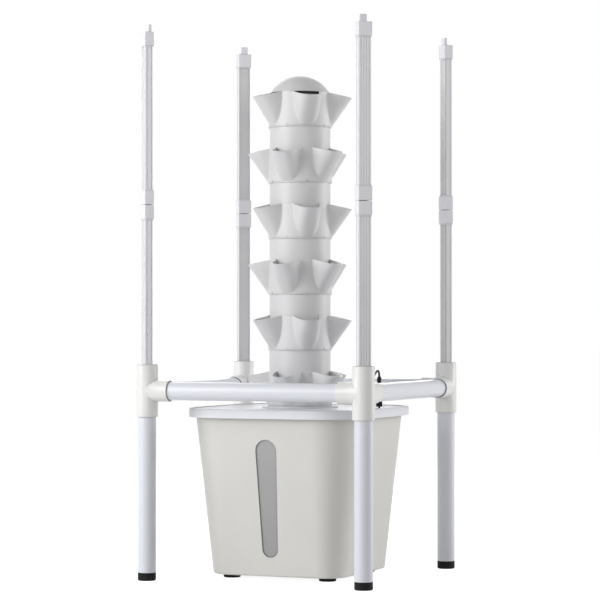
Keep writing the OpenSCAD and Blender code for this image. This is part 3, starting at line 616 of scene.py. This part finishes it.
def spline_length(obj):
    curve = obj.data.copy()
    curve.bevel_depth = 0
    line = new_object("measure", curve)
    bpy.context.view_layer.update()
    flat = line.to_mesh()
    ends = [(flat.vertices[a].co, flat.vertices[b].co) for a, b in (e.vertices for e in flat.edges)]
    total = sum((start - end).length for start, end in ends)
    line.to_mesh_clear()
    bpy.data.objects.remove(line)
    return total


for name, route, parts, end in (("lamp_flex", LAMP_LEAD, ["lead_plug"], "object"),
                                ("pump_flex", PUMP_LEAD, ["lead_socket"], "connector")):
    flex = lead(name, route)
    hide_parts(name.replace("flex", "lead"))
    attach(flex, "base")
    round(spline_length(flex), 4)


# Stage: pale floor, white surround, soft lights
KEY_FROM = toward_camera * 0.45 - camera_right * 0.85 + Vector((0, 0, 0.28))
SIDE_FROM = camera_right * 0.95 - toward_camera * 0.2 + Vector((0, 0, 0.22))
BACK_FROM = Vector((0, 0, 0.3)) - toward_camera - camera_right * 0.1
FILL_FROM = Vector((0.7, -0.7, 0.0))
KEY_SHARE = 0.73
SIDE_SHARE = 0.47
BACK_SHARE = 0.3
FILL_SHARE = 0.011
AMBIENT = 0.235
LIGHT_DISTANCE = 3.2
LIGHT_SIZE = 2.4
SIDE_SIZE = 2.2
LIGHT_AIM = 0.5
FULL_SPREAD = 180
FILL_DISTANCE = 2.4
FILL_SIZE = 0.8
FILL_AIM = 1.0
FILL_SPREAD = 45
WHITE = (1, 1, 1, 1)
FLOOR_R = 40.0
FLOOR_COLOUR = (0.82, 0.82, 0.82, 1)
FLOOR_SEEN = (0.4, 0.4, 0.4, 1)
FLOOR_GLOW = 0.905


def soft_light(name, direction, distance, size, share, aim_z=LIGHT_AIM, spread=FULL_SPREAD):
    data = bpy.data.lights.new(name, "AREA")
    data.shape = "DISK"
    data.spread = math.radians(spread)
    data.size = size
    data.energy = share * math.pi ** 2 * distance ** 2
    obj = new_object(name, data)
    aim = Vector((0, 0, aim_z))
    obj.location = aim + direction.normalized() * distance
    obj.rotation_euler = (aim - obj.location).to_track_quat("-Z", "Y").to_euler()


def seen_directly(tree):
    """1 where the camera sees a surface, also in a reflection or through a clear one, and 0 for its light."""
    path = tree.nodes.new("ShaderNodeLightPath")
    seen = path.outputs["Is Camera Ray"]
    for ray in ("Is Glossy Ray", "Is Transmission Ray"):
        either = tree.nodes.new("ShaderNodeMath")
        either.operation = "MAXIMUM"
        tree.links.new(seen, either.inputs[0])
        tree.links.new(path.outputs[ray], either.inputs[1])
        seen = either.outputs[0]
    return seen


def mixed(tree, lighting, shown):
    """One shader for the light that a surface gives, another for how it is seen."""
    mix = tree.nodes.new("ShaderNodeMixShader")
    tree.links.new(seen_directly(tree), mix.inputs["Fac"])
    tree.links.new(lighting.outputs[0], mix.inputs[1])
    tree.links.new(shown.outputs[0], mix.inputs[2])
    return mix


soft_light("key_light", KEY_FROM, LIGHT_DISTANCE, LIGHT_SIZE, KEY_SHARE)
soft_light("side_light", SIDE_FROM, LIGHT_DISTANCE, SIDE_SIZE, SIDE_SHARE)
soft_light("back_light", BACK_FROM, LIGHT_DISTANCE, LIGHT_SIZE, BACK_SHARE)
soft_light("fill_light", FILL_FROM, FILL_DISTANCE, FILL_SIZE, FILL_SHARE, FILL_AIM, FILL_SPREAD)

world = bpy.data.worlds.new("surround")
scene.world = world
world.use_nodes = True
tree = world.node_tree
tree.nodes.clear()
out = tree.nodes.new("ShaderNodeOutputWorld")
lighting = tree.nodes.new("ShaderNodeBackground")
lighting.inputs["Color"].default_value = WHITE
lighting.inputs["Strength"].default_value = AMBIENT
shown = tree.nodes.new("ShaderNodeBackground")
shown.inputs["Color"].default_value = WHITE
tree.links.new(mixed(tree, lighting, shown).outputs[0], out.inputs["Surface"])

floor_corners = [(x * FLOOR_R, y * FLOOR_R, 0) for x, y in ((-1, -1), (1, -1), (1, 1), (-1, 1))]
floor_mesh = bpy.data.meshes.new("floor")
floor_mesh.from_pydata(floor_corners, [], [(0, 1, 2, 3)])
floor = new_object("floor", floor_mesh)
floor_mat = bpy.data.materials.new("floor_pale")
floor_mat.use_nodes = True
tree = floor_mat.node_tree
tree.nodes.clear()
out = tree.nodes.new("ShaderNodeOutputMaterial")
lighting = tree.nodes.new("ShaderNodeBsdfDiffuse")
lighting.inputs["Color"].default_value = FLOOR_COLOUR
shadowed = tree.nodes.new("ShaderNodeBsdfDiffuse")
shadowed.inputs["Color"].default_value = FLOOR_SEEN
glow = tree.nodes.new("ShaderNodeEmission")
glow.inputs["Strength"].default_value = FLOOR_GLOW
shown = tree.nodes.new("ShaderNodeAddShader")
tree.links.new(shadowed.outputs[0], shown.inputs[0])
tree.links.new(glow.outputs[0], shown.inputs[1])
tree.links.new(mixed(tree, lighting, shown).outputs[0], out.inputs["Surface"])
floor_mesh.materials.append(floor_mat)

scene.view_settings.view_transform = "Standard"
